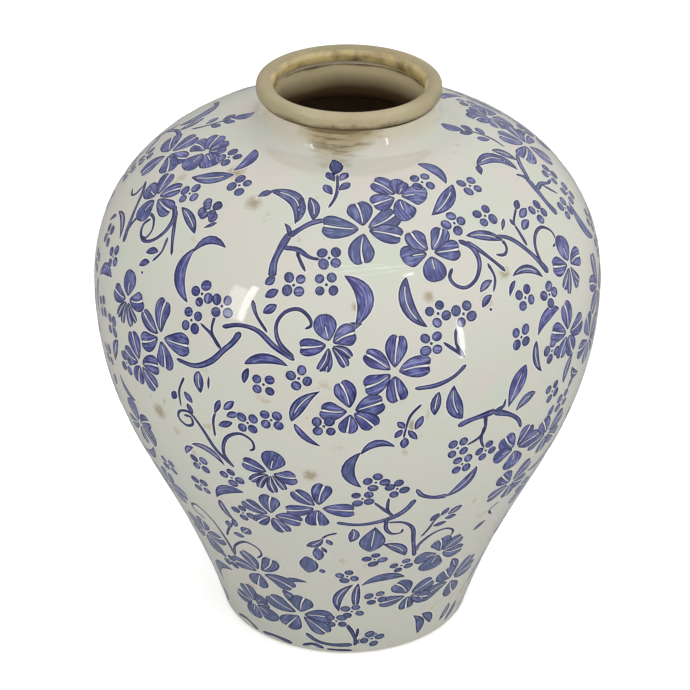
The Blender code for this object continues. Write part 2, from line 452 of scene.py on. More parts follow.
def lip_stain():
    s = Shader("lip_stain")
    place = s.place()
    height = s.height()
    smear = s.noise(s.stretched(place, (30, 30, 90)), 1, 4, 0.6)
    front = s.spot(place, (0, -LIP_HIGH.x, LIP_HIGH.z), FRONT_RADIUS)
    smear = s.plus(smear, s.times(front, 0.5))
    colour = s.ramp(smear, (0.4, TAUPE), (0.85, LIP_PALE))
    blush = s.ramp(s.noise(place, 48, 4, 0.65), (0.46, 0.0), (0.62, 0.6))
    colour = s.mix(blush, colour, LIP_BLUSH)
    # Khaki in the throat, down to a ragged painted highlight: a pale line along the lip's inner lower
    # edge.
    flat_place = s.node("ShaderNodeVectorMath", {0: place, 1: (1, 1, 0)}, operation="MULTIPLY")
    length = s.node("ShaderNodeVectorMath", {0: flat_place.outputs[0]}, operation="LENGTH")
    inward = s.minus(THROAT_EDGE, length.outputs["Value"])
    throat = s.ramp(s.times(inward, 1 / MM), (0.3, 0.0), (1.0, 1.0))
    sunk = s.times(s.minus(LIP_HIGH.z, height), 1 / MM)
    sunk = s.plus(sunk, s.times(s.noise(place, 90, 3), 2.0))
    khaki = s.times(throat, s.times(sunk, 0.2, clamp=True))
    olive = s.ramp(s.noise(place, 110, 3), (0.45, KHAKI), (0.75, OLIVE_BROWN))
    colour = s.mix(khaki, colour, olive)
    low = s.over(s.minus(height, LIP_BOTTOM), LIP_HIGH.z - LIP_BOTTOM)
    rag = s.plus(low, s.times(s.noise(place, 38, 4, 0.6), -0.34))
    # Painted highlight: a thin whitish line where light catches the lip's inner lower edge, on the left
    # side.
    pale = s.times(s.ramp(rag, (0.0, 1.0), (0.05, 0.0)), throat)
    pale = s.times(pale, s.ramp(s.spot(place, HIGHLIGHT_SIDE, HIGHLIGHT_RADIUS), (0.1, 0.0), (0.3, 1.0)))
    # Brown gathered low on the outside.
    gather = s.minus(s.times(s.noise(place, 75, 4, 0.7), 1.05), low)
    outside = s.minus(1.0, throat)
    brown = s.times(s.ramp(gather, (0.12, 0.0), (0.4, 0.85)), outside)
    colour = s.mix(brown, colour, OLIVE_BROWN)
    colour = s.mix(pale, colour, PAINTED_EDGE_HIGHLIGHT)
    s.set(Base_Color=colour, Roughness=0.36, IOR=1.5)
    s.bump(s.noise(place, 320, 4, 0.6), 0.12, 0.8 * MM)
    return s.material


def bisque():
    s = Shader("bisque_clay")
    place = s.place()
    grit = s.noise(place, 900, 4)
    colour = s.mix(s.noise(place, 40, 3), BISQUE_DARK, BISQUE_LIGHT)
    s.set(Base_Color=s.mix(0.35, colour, s.ramp(grit, (0.3, 0.3), (0.7, 0.8)), "MULTIPLY"))
    s.set(Roughness=0.85)
    s.bump(grit, 0.4, 0.4 * MM)
    return s.material


def liner_glaze():
    s = Shader("liner_glaze")
    place = s.place()
    drop = s.minus(LIP_BOTTOM, s.height())
    drop = s.plus(drop, s.times(s.noise(place, 45, 3), 5 * MM))
    # Painted shade: the grey-beige under the lip darkens to a dark brown band further down the inner
    # wall, where little light reaches, and turns lighter brown deep inside. The fade is 1 at 100 mm
    # below the lip.
    painted_shade_fade = s.times(drop, 10)
    colour = s.ramp(painted_shade_fade, (0.06, CLAY_GREY), (0.155, CLAY_SHADE), (0.3, CLAY_SHADE), (0.5, CLAY_DEEP))
    # Painted shadow: a dark ragged line on the inner wall just under the lip's inner edge.
    colour = s.mix(s.ramp(painted_shade_fade, (0.022, 0.9), (0.034, 0.0)), colour, PAINTED_GAP_SHADOW)
    s.set(Base_Color=colour, Roughness=0.3, IOR=1.5)
    return s.material


# ---------------- the clay body


def dress(obj, material, slot, *replaced):
    obj.data.materials.append(material)
    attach(obj, "root")
    if replaced:
        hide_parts(*replaced)


def inner_meridian():
    """The inside, from the neck down to the floor, as (radius, height) points."""
    floor_up = WALL_LINE.up[np.searchsorted(WALL_LINE.line[:, 1], FLOOR_HIGH.z)]
    ups = np.linspace(floor_up, INSIDE_TOP, 90)
    line = WALL_LINE.outline(ups) - WALL_LINE.normal(ups) * WALL
    fillet_radius = INNER_NECK_RADIUS + NECK_FILLET
    line = line[(line[:, 1] > FLOOR_HIGH.z + 3 * MM) & (line[:, 0] > fillet_radius)]
    fillet = arc((fillet_radius, SHOULDER_TOP - WALL + NECK_FILLET), NECK_FILLET, 180, 265, 10)
    return np.vstack([[(INNER_NECK_RADIUS, LIP_BOTTOM)], fillet, line[::-1]])


def make_wall(material, liner):
    """The glazed outside and the liner as one closed skin, which ends in a rim round the foot."""
    neck_rows = np.linspace(NECK_ROWS_FROM, WALL_LINE.length, NECK_ROWS)
    outside = WALL_LINE.outline(np.concatenate([np.arange(*WALL_ROWS) * MM, neck_rows]))
    seat = FLOOR_HIGH.x + GAP
    rim = FOOT_RADIUS - RIM_INSET
    top = FOOT_HIGH.z + FOOT_TOP_GAP
    under = [(seat, FLOOR_HIGH.z), (seat, top), (rim, top), (rim, RIM_RISE)]
    outline = np.vstack([outside, inner_meridian(), under])
    wall = turned("glazed_wall", outline)
    dress(wall, material, "ivory_glaze", "lower_section", "upper_section", "neck_collar")
    wall.data.materials.append(liner)
    rows = len(outline)
    for polygon in wall.data.polygons:
        row = polygon.index % rows
        polygon.material_index = 1 if row >= len(outside) - 1 else 0
    wall.data.set_sharp_from_angle(angle=math.radians(50))


def make_lip(material):
    """The rolled lip: squarish, with a top that slopes to the mouth and an uneven lower edge."""
    half = (LIP_HIGH.x - LIP_INNER_RADIUS) / 2
    middle = (LIP_HIGH.x - half, (LIP_HIGH.z + LIP_BOTTOM) / 2)
    rise = (LIP_HIGH.z - LIP_BOTTOM) / 2
    angle = np.radians(np.linspace(-70, 235, 56))
    way = np.stack([np.cos(angle), np.sin(angle)], axis=1)
    profile = middle + (half, rise) * np.sign(way) * abs(way) ** (2 / LIP_SQUARENESS)
    inward = np.clip((middle[0] - profile[:, 0]) / half, 0, 1)
    profile[:, 1] -= LIP_TILT * inward * np.clip((profile[:, 1] - middle[1]) / rise, 0, 1)
    foot = [(INNER_NECK_RADIUS + GAP, LIP_BOTTOM), (NECK_RADIUS - GAP, LIP_BOTTOM)]
    outline = np.vstack([profile, foot])
    rng = random.Random(SEED + 1)
    waves = [(k, rng.uniform(0, math.tau), LIP_UNEVEN / (1 + 0.3 * k)) for k in (2, 3, 5, 9, 14)]

    def wobble(turn, line):
        shift = sum(size * math.sin(k * turn + start) for k, start, size in waves)
        share = np.clip((middle[1] + rise - line[:, 1]) / (2 * rise), 0, 1)
        moved = line.copy()
        moved[:, 0] += np.where(line[:, 0] > middle[0], -abs(shift), 0.4 * abs(shift)) * share
        return moved

    lip = turned("lip", outline, wobble=wobble)
    dress(lip, material, "lip_stain", "lip_coil")


def make_foot(material):
    outer = FOOT_RADIUS - FOOT_INSET
    inner = FOOT_HIGH.x - FOOT_WIDTH
    outline = [(inner + FOOT_INSET, 0), (outer - FOOT_EDGE, 0), (outer, FOOT_EDGE)]
    outline += [(outer, FOOT_HIGH.z), (inner, FOOT_HIGH.z), (inner, FOOT_INSET)]
    foot = turned("bare_foot", outline)
    foot.data.set_sharp_from_angle(angle=math.radians(40))
    dress(foot, material, "bisque_clay", "foot_ring")


def make_floor(material):
    radius, low, high = FLOOR_HIGH.x, FLOOR_LOW.z, FLOOR_HIGH.z
    outline = [(0, low), (radius, low), (radius, high), (0, high)]
    floor = turned("floor_disc_inside", outline, capped=True)
    floor.data.set_sharp_from_angle(angle=math.radians(40))
    dress(floor, material, "bisque_clay", "floor_disc")


# ---------------- brushwork

# All in millimetres. The outer HALO of a patch is the pale line that the wax left round each mark,
# and the dark RIM is inside it. LIFT is the lift at the distances LIFT_AT from the edge. The edge
# attribute grows from 0 at the edge to 1 at EDGE_REACH. A vein is VEIN_REACH wide to each side, and
# the edge attribute is VEIN_LINE at its sides.
HALO = 0.55
RIM = 0.55
LIFT_AT = (0, 0.3, 0.55)
LIFT = (-0.03, 0.05, 0.07)
EDGE_REACH = 2.4
VEIN_REACH = 0.5
VEIN_LINE = 0.42
# A notch in a mark's far end: where along the mark it starts, and its share of the mark's width.
NOTCH_FROM = 0.55
NOTCH_SPREAD = 0.55
# Families of marks lie one above the other, and neighbours in a family differ a little.
LAYER = {"stems": 0, "leaves": 0.025, "blooms": 0.05, "berries": 0.075}
LAYER_STEP = 0.003
LAYER_STEPS = 7
# About how far apart a leaf's or stroke's rows are (mm), and how far two marks in the brush texture.
ROW_STEP = 1.5
BRUSH_STEP = 37.0


def with_halo(spine, half):
    """A spine's points, directions and half widths, with the halo added all round."""
    ahead = np.gradient(spine, axis=0)
    ahead /= np.linalg.norm(ahead, axis=1)[:, None] + 1e-9
    # Two more rows past each end round off the halo.
    before = spine[0] - ahead[0] * HALO * np.array([[1], [0.7]])
    after = spine[-1] + ahead[-1] * HALO * np.array([[0.7], [1]])
    first, last = ([end * 0.6, end * 0.8 + HALO * 0.7] for end in half[[0, -1]])
    reach = np.concatenate([first, half + HALO, last[::-1]])
    return np.vstack([before, spine, after]), ahead[[0, 0, *range(len(ahead)), -1, -1]], reach


def column_offsets(reach, vein, fine):
    """How far to the side each column of a patch lies: the edge, the rim, the vein and the middle."""
    insets = [np.zeros_like(reach), np.minimum(HALO, reach * 0.4)]
    if not fine:
        insets.append(np.minimum(HALO + RIM, reach * 0.55))
        insets.append(np.minimum(HALO + 2 * RIM, reach * 0.68))
    offsets = [reach - inset for inset in insets]
    if vein is not None:
        opened = VEIN_REACH * np.maximum(1, vein)
        offsets.append(np.minimum(opened + RIM, offsets[-1] * 0.7))
        offsets.append(np.minimum(opened, offsets[-1] * 0.6))
    return np.stack(offsets + [reach * 0] + [-offset for offset in offsets[::-1]], axis=1)


class Paint:
    """Collects brush marks into one mesh of thin raised patches."""

    def __init__(self, family, name):
        self.name = name
        self.layer = LAYER[family]
        self.points, self.normals, self.faces = [], [], []
        self.edge, self.brush, self.tone = [], [], []
        self.count = self.patches = 0

    def patch(self, place, spine, half, tone, vein=None, fine=False, notch=0.0):
        """A mark of half width `half` along a spine of (x, y) millimetres round a place.

        vein gives how open the pale line along its middle is: 0 is closed, and above 1 it widens.
        fine leaves out the columns inside the rim, for narrow strokes. notch is how deep the middle
        of the far end is drawn in.
        """
        spine, ahead, reach = with_halo(spine, half)
        if vein is not None:
            vein = np.concatenate([[0, 0], vein, [0, 0]])
        offset = column_offsets(reach, vein, fine)
        rows, across = offset.shape
        run = run_length(spine)
        from_end = np.minimum(run, run[-1] - run)[:, None]
        inset = np.minimum(reach[:, None] - abs(offset), from_end)
        edge = np.clip(inset / EDGE_REACH, 0, 1)
        if vein is not None:
            middle = across // 2
            for column, line in ((middle - 1, VEIN_LINE), (middle, 0), (middle + 1, VEIN_LINE)):
                lowered = np.minimum(line, edge[:, column]) - edge[:, column]
                edge[:, column] += lowered * np.minimum(1, vein)
        side = np.stack([-ahead[:, 1], ahead[:, 0]], axis=1)
        late = np.clip((run / run[-1] - NOTCH_FROM) / (1 - NOTCH_FROM), 0, 1)[:, None] ** 2
        inner = np.clip(1 - abs(offset) / (NOTCH_SPREAD * reach.max()), 0, 1)
        drawn = spine[:, None] - ahead[:, None] * (notch * late * inner)[..., None]
        flat = (drawn + side[:, None] * offset[..., None]) * MM
        layer = self.layer + LAYER_STEP * (self.patches % LAYER_STEPS)
        lift = (np.interp(inset, LIFT_AT, LIFT) + layer) * MM
        ups = place[1] * MM + flat[..., 1]
        turn = math.radians(place[0]) + flat[..., 0] / WALL_LINE.radius(ups)
        points, normals = WALL_LINE.place(turn, ups, lift)
        for r in range(rows - 1):
            for c in range(across - 1):
                a = self.count + r * across + c
                self.faces.append((a, a + 1, a + across + 1, a + across))
        self.points.append(points.reshape(-1, 3))
        self.normals.append(normals.reshape(-1, 3))
        self.edge.append(edge.ravel())
        along = np.repeat(run[:, None], across, axis=1)
        own = np.full_like(along, BRUSH_STEP * self.patches)
        brush = np.stack([along, offset, own], axis=-1)
        self.brush.append(brush.reshape(-1, 3))
        self.tone.append(np.full(rows * across, tone))
        self.count += rows * across
        self.patches += 1

    def finish(self, material):
        points = np.vstack(self.points)
        obj = mesh_object(self.name, points, self.faces, np.vstack(self.normals))
        for name, kind, key, values in (
            ("edge", "FLOAT", "value", np.concatenate(self.edge)),
            ("tone", "FLOAT", "value", np.concatenate(self.tone)),
            ("brush", "FLOAT_VECTOR", "vector", np.vstack(self.brush)),
        ):
            attribute = obj.data.attributes.new(name, kind, "POINT")
            attribute.data.foreach_set(key, values.astype(np.float32).ravel())
        dress(obj, material, "cobalt_paint")


def eased(count):
    """Steps from 0 to 1 that are closer together near the ends."""
    return (1 - np.cos(np.linspace(0, math.pi, count))) / 2


def turn_points(points, degrees):
    angle = math.radians(degrees)
    cos, sin = math.cos(angle), math.sin(angle)
    return points @ np.array([[cos, sin], [-sin, cos]])


def bloom(paint, place, petals, turn, rng, tone):
    for direction, length, width, lobes in petals:
        direction += turn + rng.uniform(-4, 4)
        length *= rng.uniform(0.95, 1.05)
        width *= rng.uniform(0.93, 1.07)
        petal(paint, place, direction, length, width, lobes, rng, tone)


def petal(paint, place, direction, length, width, lobes, rng, tone):
    """A round petal with a pale vein: a short one, or one that parts it into two lobes."""
    t = eased(PETAL_ROWS)
    start = PETAL_START * length
    swell = np.sin(math.pi * t**PETAL_FULLNESS) ** PETAL_ROUNDNESS
    swell *= 1 + 0.06 * np.sin(6 * t + rng.uniform(0, math.tau))
    bow = rng.uniform(-0.09, 0.09) * length * np.sin(math.pi * t)
    spine = np.stack([start + (length - start) * t, bow], axis=1)
    if lobes == 1:
        vein = np.interp(t, (0, 0.04, 0.12, 0.5, rng.uniform(0.6, 0.8), 1), (0, 0, 1, 1, 0, 0))
    else:
        vein = np.interp(t, (0, 0.04, 0.12, 0.55, 1), (0, 0, 1, 1.3, 3.2))
    shade = tone + rng.uniform(-0.1, 0.1)
    notch = PETAL_NOTCH * length * (lobes - 1)
    paint.patch(place, turn_points(spine, direction), width / 2 * swell, shade, vein, notch=notch)


def dab(paint, place, offset, size, rng, tone, stretch=1.0):
    """A round berry dab."""
    t = np.linspace(0.1, math.pi - 0.1, 7)
    spine = np.stack([-size * stretch / 2 * np.cos(t), 0 * t], axis=1)
    spine = turn_points(spine, rng.uniform(0, 180)) + offset
    paint.patch(place, spine, size / 2 * np.sin(t), tone + rng.uniform(-0.15, 0.2))


def berries(paint, place, turn, rng, tone):
    """Four berries round a small dot."""
    for k in range(4):
        angle = math.radians(turn + 90 * k + rng.uniform(-8, 8))
        reach = BERRY_SPREAD * rng.uniform(0.93, 1.07)
        offset = np.array([math.cos(angle), math.sin(angle)]) * reach
        dab(paint, place, offset, BERRY_SIZE * rng.uniform(0.9, 1.06), rng, tone, rng.uniform(1, 1.15))
    dab(paint, place, np.zeros(2), BERRY_DOT, rng, tone)


def to_flat(place, points):
    """(azimuth, up) points as (x, y) millimetres round a place."""
    points = np.asarray(points, float)
    radii = WALL_LINE.radius(points[:, 1] * MM) / MM
    return np.stack([np.radians(points[:, 0] - place[0]) * radii, points[:, 1] - place[1]], axis=1)


def leaf(paint, tone, tip_1, tip_2, width, bend=0, vein=False, full=0.5):
    """A pointed leaf between two places, bent to its left by a share of its length."""
    place = ((tip_1[0] + tip_2[0]) / 2, (tip_1[1] + tip_2[1]) / 2)
    ends = to_flat(place, [tip_1, tip_2])
    run = ends[1] - ends[0]
    length = np.linalg.norm(run)
    side = np.array([-run[1], run[0]]) / length
    t = eased(max(9, int(length / ROW_STEP)))
    spine = ends[0] + run * t[:, None] + side * (bend * length * 4 * t * (1 - t))[:, None]
    swell = np.sin(math.pi * t ** (math.log(0.5) / math.log(full))) ** 0.75
    opened = None
    if vein:
        opened = np.interp(t, (0, 0.05, 0.15, 0.78, 0.95, 1), (0, 0, 1, 1, 0, 0))
    paint.patch(place, spine, width / 2 * swell, tone, opened)


def smooth_line(points, step):
    """A smooth curve through the points, with even spacing."""
    points = np.asarray(points, float)
    padded = np.vstack([2 * points[0] - points[1], points, 2 * points[-1] - points[-2]])
    t = np.linspace(0, 1, 12, endpoint=False)[:, None]
    found = []
    for a, b, c, d in zip(padded, padded[1:], padded[2:], padded[3:]):
        square = (2 * a - 5 * b + 4 * c - d) * t**2
        cube = (3 * b - a - 3 * c + d) * t**3
        found.append(0.5 * (2 * b + (c - a) * t + square + cube))
    line = np.vstack([*found, points[-1:]])
    run = run_length(line)
    return resampled(line, run, np.linspace(0, run[-1], max(6, int(run[-1] / step))))


def stroke(paint, points, width, end_width, rng, tone):
    """A brush stroke through places, with round ends."""
    place = tuple(np.mean(np.asarray(points, float), axis=0))
    line = smooth_line(to_flat(place, points), ROW_STEP)
    t = np.linspace(0, 1, len(line))
    half = (width + (end_width - width) * t) / 2
    half *= 1 + 0.12 * np.sin(t * 9 + rng.uniform(0, 6))
    half[[0, -1]] *= 0.45
    paint.patch(place, line, half, tone, fine=True)


# ---------------- the pattern

PETAL_ROWS = 15
PETAL_START = 0.12
PETAL_FULLNESS = 1.55
PETAL_ROUNDNESS = 0.44
PETAL_NOTCH = 0.1
BERRY_SIZE = 5.0
BERRY_SPREAD = 4.2
BERRY_DOT = 1.5

# Petals of a bloom: direction (degrees), length and width (mm), lobes.
OPEN_BLOOM = [
    (85, 20, 10, 2), (3, 19, 12.5, 2), (-79, 16.5, 12, 2), (-153, 17, 10, 2), (148, 18, 9, 2),
]
FAN_BLOOM = [
    (97, 15, 11.5, 1), (18, 14, 10, 2), (183, 15, 9.5, 2), (-120, 15, 5, 2), (-98, 15, 4.6, 2),
    (-60, 14.5, 5, 2), (-38, 13, 4.2, 2),
]
LOOSE_BLOOM = [
    (112, 17, 11, 2), (20, 16.5, 11.5, 2), (-42, 15.5, 10.5, 2), (-102, 13.5, 9.5, 2), (176, 16, 10, 2),
]
HEART_BLOOM = [
    (118, 15, 11, 2), (52, 16, 10, 2), (186, 14, 10, 1), (-3, 17, 10.5, 2), (-90, 15, 13, 1),
]
GRAND_BLOOM = [
    (104, 17, 13, 2), (28, 18, 12, 2), (-18, 19, 11.5, 2), (-90, 18, 12, 2), (178, 20, 13, 2),
]
ROUND_BLOOM = [
    (132, 15, 13, 2), (80, 12, 8, 1), (50, 11, 6, 1), (196, 14, 11, 2), (-14, 15, 12, 1),
    (-80, 14, 12, 1),
]

# Marks grow greyer from LOW_TONE_TOP (mm) down to the foot.
LOW_TONE = 0.45
LOW_TONE_TOP = 190

# The shoulder's marks. Blooms: place, petals, turn. Berries: place, turn.
SHOULDER_BLOOMS = [
    ((4.8, 287), GRAND_BLOOM, 0), ((18, 304.5), ROUND_BLOOM, 0), ((22, 271.5), HEART_BLOOM, 0),
]
SHOULDER_BERRIES = [
    ((-4.8, 272), 50), ((-12.8, 257.5), 45), ((-5, 259), 50), ((30, 310.5), 35), ((46.5, 299.5), 40),
    ((32.3, 283.6), 85), ((43.2, 282), 50), ((62, 270.5), 50),
]
# Leaves: from, to and width (mm), then bend, whether it has a vein, and where it is fullest, unless
# they are 0, False and 0.5.
SHOULDER_LEAVES = [
    ((-6.2, 321), (-9, 333), 7, -0.1), ((-5.6, 316), (-10, 322.5), 4.6, 0, False, 0.6),
    ((-3.6, 316.5), (-0.5, 323), 4.6, 0, False, 0.6), ((-5.8, 307), (-9.8, 313.5), 4.6, 0, False, 0.6),
    ((-3.8, 310), (0.8, 315.5), 4.6, 0, False, 0.6), ((-32, 298.5), (-28, 303.5), 4, 0.1, False, 0.6),
    ((-29, 304), (-16, 288), 7.5, 0.3, True, 0.45), ((-17.5, 304), (-15.6, 289), 4, 0.12),
    ((-14, 304.5), (-10.8, 291), 6, 0.1, True), ((34.5, 323), (38.6, 305.5), 6.4, 0.18, False, 0.45),
    ((26.5, 290.5), (40.8, 304), 8, -0.06, True, 0.55), ((33.8, 275.8), (44, 267.5), 5.5, 0.08, True),
    ((45.4, 271.8), (48.6, 277), 2.2, 0, False, 0.6), ((32, 247.8), (36, 251.6), 3.8, 0.1),
    ((31.6, 240.5), (34.8, 245), 3.8, 0.1), ((54.8, 277.8), (58.4, 281), 4),
    ((54, 273.4), (58.8, 275.4), 4.4), ((52.2, 267.4), (56.4, 269.8), 4.6, 0.1),
    ((50.6, 271), (50.2, 275.5), 2.4),
]
# Strokes: width and end width (mm), places.
SHOULDER_STROKES = [
    (1.5, 1.5, [(-6.5, 299), (-4.8, 305), (-4.2, 311), (-5, 321)]),
    (3.7, 3.5, [(-18.4, 259.5), (-18.8, 267), (-18, 275), (-16.6, 283)]),
    (3.2, 1.0, [(-16.6, 282), (-17.6, 285.5), (-19.2, 287.6)]),
    (3.0, 2.2, [(-16.8, 281), (-12, 288.6), (-7.5, 291.6), (-3, 291.6)]),
    (2.9, 1.6, [(-17.6, 275), (-13.5, 275), (-10, 271.8), (-7, 271)]),
    (1.9, 1.3, [(-13.6, 274), (-12, 269), (-10.4, 264.5)]),
    (2.7, 1.5, [(31, 274.6), (34, 269.5), (34.4, 262), (32.2, 255), (29, 251.8), (26.4, 253.6),
                (25.2, 258), (26.6, 262.3)]),
    (2.2, 1.8, [(33.4, 273), (37.3, 263), (40.6, 253.5)]),
    (1.7, 1.1, [(36.4, 260), (37, 252.5), (35.4, 246)]),
    (1.9, 1.1, [(50.5, 260), (50.5, 267), (51, 273), (55.5, 278.5)]),
    (1.5, 1.5, [(33.4, 238), (33.8, 239.2)]),
]

# The belly's marks, listed like the shoulder's.
BELLY_BLOOMS = [
    ((-57, 224), FAN_BLOOM, 0), ((-44, 216), OPEN_BLOOM, 4), ((-51, 195), LOOSE_BLOOM, 0),
    ((-3.6, 231), FAN_BLOOM, 4), ((10, 217), OPEN_BLOOM, 0), ((1, 197), LOOSE_BLOOM, 0),
    ((62, 240), FAN_BLOOM, -22), ((56.5, 208.5), LOOSE_BLOOM, -20), ((-17.2, 155), FAN_BLOOM, -22),
    ((-6.6, 133), OPEN_BLOOM, -12), ((-19, 121), LOOSE_BLOOM, -28), ((42.3, 154), HEART_BLOOM, 8),
    ((55, 150), LOOSE_BLOOM, 12), ((47, 123.5), LOOSE_BLOOM, 22), ((30.5, 80), HEART_BLOOM, -8),
    ((-57, 152), FAN_BLOOM, 15), ((-57, 108), LOOSE_BLOOM, 40), ((-30, 61), OPEN_BLOOM, -30),
    ((-17.6, 31), GRAND_BLOOM, -32), ((-39, 28), ROUND_BLOOM, -28), ((24, 46), LOOSE_BLOOM, 12),
    ((43, 46), GRAND_BLOOM, 24), ((-51, 76), HEART_BLOOM, 20),
]
BELLY_BERRIES = [
    ((-34.8, 244.3), 80), ((-29, 241.5), 60), ((-36, 230.6), 45), ((20.6, 242.5), 75),
    ((26.6, 240), 60), ((18.3, 229), 45), ((-43.7, 283), 60), ((43.7, 238), 55), ((51.4, 233.6), 80),
    ((40.6, 220.3), 45), ((50.2, 205), 70), ((25.2, 168.2), 45), ((27.1, 156.5), 45),
    ((32.9, 161.2), 75), ((-4.7, 188.3), 50), ((-17.6, 207.8), 50), ((-10, 213.4), 75),
    ((-16, 188.8), 50), ((-36, 147.6), 50), ((-27.4, 145), 85), ((-38.6, 128.8), 45),
    ((-27.4, 117), 80), ((-49.8, 131.4), 45), ((-57, 189), 40), ((-63.5, 203), 50), ((6.8, 152.6), 80),
    ((11.9, 146.8), 75), ((4, 140.8), 50), ((8.8, 85.2), 80), ((18, 76), 70), ((0.8, 69.6), 70),
    ((2.8, 37), 60), ((-3.2, 28.4), 50), ((11.2, 48), 60), ((-44, 60), 50), ((58, 168), 50),
    ((-21.4, 184.6), 45), ((52, 180), 60), ((12, 12), 20),
]
BELLY_LEAVES = [
    ((-19.8, 256), (-17.6, 260), 4.4), ((-19.2, 250.2), (-16.2, 254.4), 4.4),
    ((-19, 242.6), (-16, 247.4), 4.6), ((-41.5, 263.5), (-38, 238), 7, -0.24),
    ((-41.6, 261), (-33, 268.6), 4.6, 0.3), ((14.4, 261.5), (17.8, 237), 7, -0.2, True, 0.45),
    ((-0.8, 263.6), (1.8, 240), 8.4, 0.3), ((3.4, 241), (-2.6, 232.5), 5.5, -0.12, False, 0.55),
    ((-33, 206.5), (-32.6, 194.5), 6, -0.05, True, 0.45), ((-30.4, 205.5), (-30.6, 198), 1.4),
    ((19.8, 204), (19, 191), 5.6, -0.05, True), ((23.2, 206), (25.6, 186), 8.6, -0.12, True, 0.55),
    ((2, 115.5), (1.4, 103), 5.8, 0.1, True), ((7.8, 116.5), (7.2, 93), 13.5, 0, True, 0.6),
    ((-22, 216.6), (-12.4, 219), 5.2, 0.16, False, 0.45), ((-21, 215), (-22, 206.5), 3.6, -0.06),
    ((-5.4, 207.6), (-11.6, 189.5), 6.6, -0.12, True, 0.6),
    ((-11, 188.5), (-5.4, 176.4), 3.6, -0.1, False, 0.4), ((3.2, 171.6), (10.6, 175.4), 4.6, 0.28),
    ((3.2, 173), (3.6, 149.4), 6.6, -0.27), ((42, 250), (51, 242.8), 4.4, 0.2, True),
    ((39.4, 241), (42.4, 247.6), 2.8, 0.1, False, 0.6),
    ((45.6, 217), (53.8, 224.6), 6.6, 0.2, False, 0.55),
    ((45, 215), (47, 196.6), 4.6, -0.14, True, 0.4), ((37.4, 184), (41.8, 205), 10, 0.03, True, 0.6),
    ((39.8, 180), (45.6, 186), 6.4, 0.12, True, 0.55), ((-60.5, 198), (-63.5, 183), 6, -0.1, True),
    ((-62, 177), (-55.6, 168), 4.4, -0.2), ((-39.8, 151), (-36.8, 158), 3.4, 0.15),
    ((-37.2, 160), (-28.6, 152.6), 4.2, 0.22, True),
    ((-34.4, 123.4), (-25, 135.6), 6.4, 0.2, False, 0.55),
    ((-33.6, 122.4), (-31.2, 105.5), 4.6, -0.12, True, 0.4),
    ((24.8, 134.2), (31.4, 152), 7, -0.12, True), ((-53.8, 156.5), (-53.6, 140), 5, 0.2, False, 0.45),
    ((-54.5, 139), (-66, 127), 5.4, 0.2), ((10.6, 99.4), (18.2, 85.4), 7, 0.14, True),
    ((-11.6, 87), (-11.8, 71), 10, 0.06), ((-8.2, 96.5), (-8, 84), 6, 0.05),
    ((-7.4, 76), (-6.8, 72), 3.4), ((-6, 106), (-11, 97), 5.6, 0.12, True, 0.6),
    ((-5, 105), (-3.6, 99.6), 3.4), ((-6.6, 97.5), (-5.2, 92), 2.6),
    ((3, 62), (-2, 37), 5.4, -0.16, True), ((4.6, 63), (4.4, 38.5), 4.6, -0.03, True),
    ((5.6, 60.5), (20.4, 64.5), 7, 0.2, False, 0.55), ((-23, 50), (-18.4, 35.5), 7, 0.1, True, 0.45),
    ((-21, 60), (-12.6, 61.5), 4, 0.1, False, 0.4), ((-58.5, 28), (-45, 50), 6, 0.28, False, 0.6),
    ((38, 68), (42.6, 52), 6, 0.06, True), ((45, 95), (41, 90), 5),
    ((29, 25), (34.5, 7), 5.5, 0.16, False, 0.6), ((33.6, 24), (40.5, 12), 5, 0.12),
    ((50, 21), (47, 9), 5, 0.1, True), ((56, 18), (52, 5), 5, 0.1), ((14.8, 184.4), (16.4, 192), 4),
    ((10.8, 190), (12.6, 186), 3.6), ((10.4, 180.6), (12, 185.4), 3.4),
    ((15.4, 178.4), (13.2, 184.6), 3.4), ((12.8, 180.4), (12.4, 173.8), 4.6),
    ((-29.4, 185), (-27.8, 194), 3.4, 0, False, 0.6), ((-27, 189), (-24.4, 195.4), 4),
    ((-26.4, 185.6), (-23.6, 189), 4), ((-28.6, 178.6), (-25, 182.8), 4), ((-37.2, 192), (-35, 187), 4),
    ((-40.8, 184.6), (-39.6, 190), 4), ((-36.6, 185.6), (-35.2, 180.4), 3.6),
    ((22.6, 114.6), (24.6, 120.6), 4.4), ((25.4, 117.6), (27, 123.6), 3.8),
    ((27.4, 117.4), (31, 122.4), 5.4, 0, True), ((26.8, 114.2), (30.4, 114.6), 4),
    ((24, 109.4), (28, 110.6), 4), ((-35, 97), (-34, 104), 4.6), ((-32.4, 100), (-31.4, 108), 4),
    ((-30.6, 96.6), (-27.2, 102.6), 6.6, 0, True), ((-34.4, 92.6), (-30.4, 93), 4.6),
    ((64.5, 178), (60, 186), 5, 0.2, True), ((60, 173), (61.5, 180), 4), ((54, 170), (52.4, 162), 5),
]
